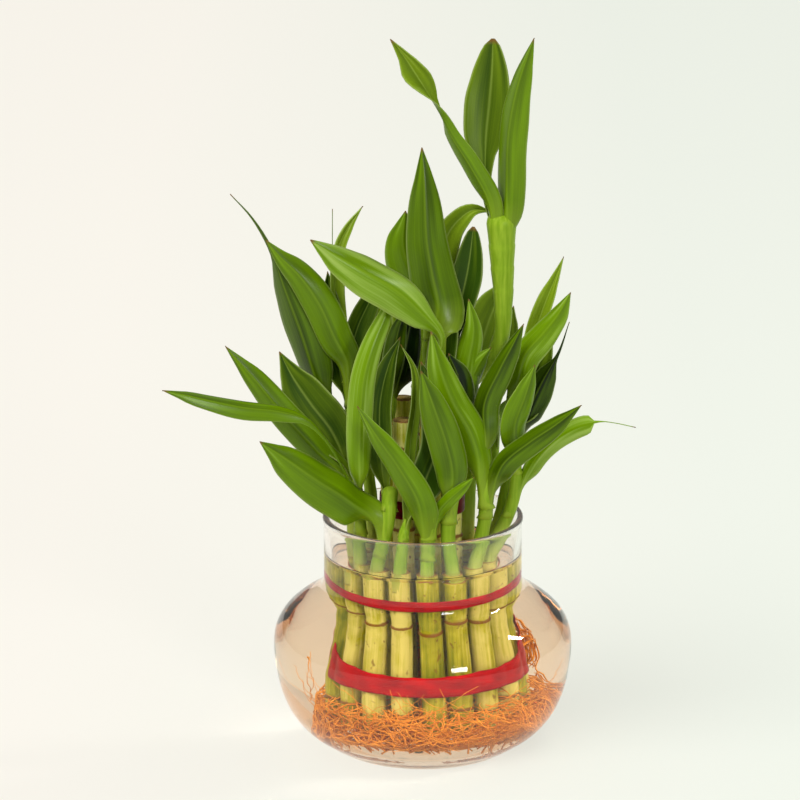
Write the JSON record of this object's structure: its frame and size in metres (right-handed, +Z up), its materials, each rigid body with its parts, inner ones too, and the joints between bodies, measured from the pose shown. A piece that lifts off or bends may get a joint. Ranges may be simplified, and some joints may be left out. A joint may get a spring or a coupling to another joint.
{
  "type": "lucky bamboo in a glass bowl",
  "caption": "Layered lucky bamboo: upright cut canes tied in rings with red satin ribbon, rooted in a squat clear glass bowl of water, with arching pointed green leaves.",
  "frame": {"origin": "middle of the bowl's flat foot, on the surface that it stands on", "axes": "+Z up through the bowl's neck, -Y towards the side that is seen in the picture, +X to its right; the longest leaf points to -X"},
  "size_m": [0.1862, 0.1208, 0.2932],
  "materials": {
    "clear_glass": "clear polished soda-lime glass",
    "water": "clear, faintly tan water",
    "orange_root": "matte fibrous roots",
    "red_satin": "glossy satin ribbon",
    "green_cane": "smooth waxy yellow-green bark with brown ring scars",
    "leaf_green": "leathery green with a soft sheen"
  },
  "bodies": {
    "root": {"glass_bowl": "clear_glass", "water": "water", "root_mat": "orange_root", "ribbon_lower": "red_satin", "ribbon_upper": "red_satin", "ribbon_inner": "red_satin", "outer_stalk_01": "green_cane", "outer_stalk_02": "green_cane", "outer_stalk_03": "green_cane", "outer_stalk_04": "green_cane", "outer_stalk_05": "green_cane", "outer_stalk_06": "green_cane", "outer_stalk_07": "green_cane", "outer_stalk_08": "green_cane", "outer_stalk_09": "green_cane", "outer_stalk_10": "green_cane", "outer_stalk_11": "green_cane", "outer_stalk_12": "green_cane", "outer_stalk_13": "green_cane", "outer_stalk_14": "green_cane", "outer_stalk_15": "green_cane", "outer_stalk_16": "green_cane", "inner_stalk_1": "green_cane", "inner_stalk_2": "green_cane", "inner_stalk_3": "green_cane", "inner_stalk_4": "green_cane", "inner_stalk_5": "green_cane", "inner_stalk_6": "green_cane", "inner_stalk_7": "green_cane", "leaf_tall_left": "leaf_green", "leaf_tall_back": "leaf_green", "leaf_tall_right": "leaf_green", "leaf_centre_upright": "leaf_green", "leaf_centre_back_left": "leaf_green", "leaf_centre_back_right": "leaf_green", "leaf_centre_right": "leaf_green", "leaf_centre_broad": "leaf_green", "leaf_left_tall": "leaf_green", "leaf_left_folded": "leaf_green", "leaf_left_back": "leaf_green", "leaf_left_upright": "leaf_green", "leaf_left_middle": "leaf_green", "leaf_left_long": "leaf_green", "leaf_left_low": "leaf_green", "leaf_left_dark": "leaf_green", "leaf_front_narrow": "leaf_green", "leaf_front_small": "leaf_green", "leaf_front_centre": "leaf_green", "leaf_front_tall": "leaf_green", "leaf_right_silvery": "leaf_green", "leaf_right_broad": "leaf_green", "leaf_right_narrow": "leaf_green", "leaf_right_pointed": "leaf_green", "leaf_right_inner": "leaf_green", "leaf_right_dark": "leaf_green", "leaf_right_long": "leaf_green", "leaf_inner_right": "leaf_green", "leaf_inner_left": "leaf_green", "leaf_back": "leaf_green", "leaf_back_right": "leaf_green"}
  },
  "joints": []
}
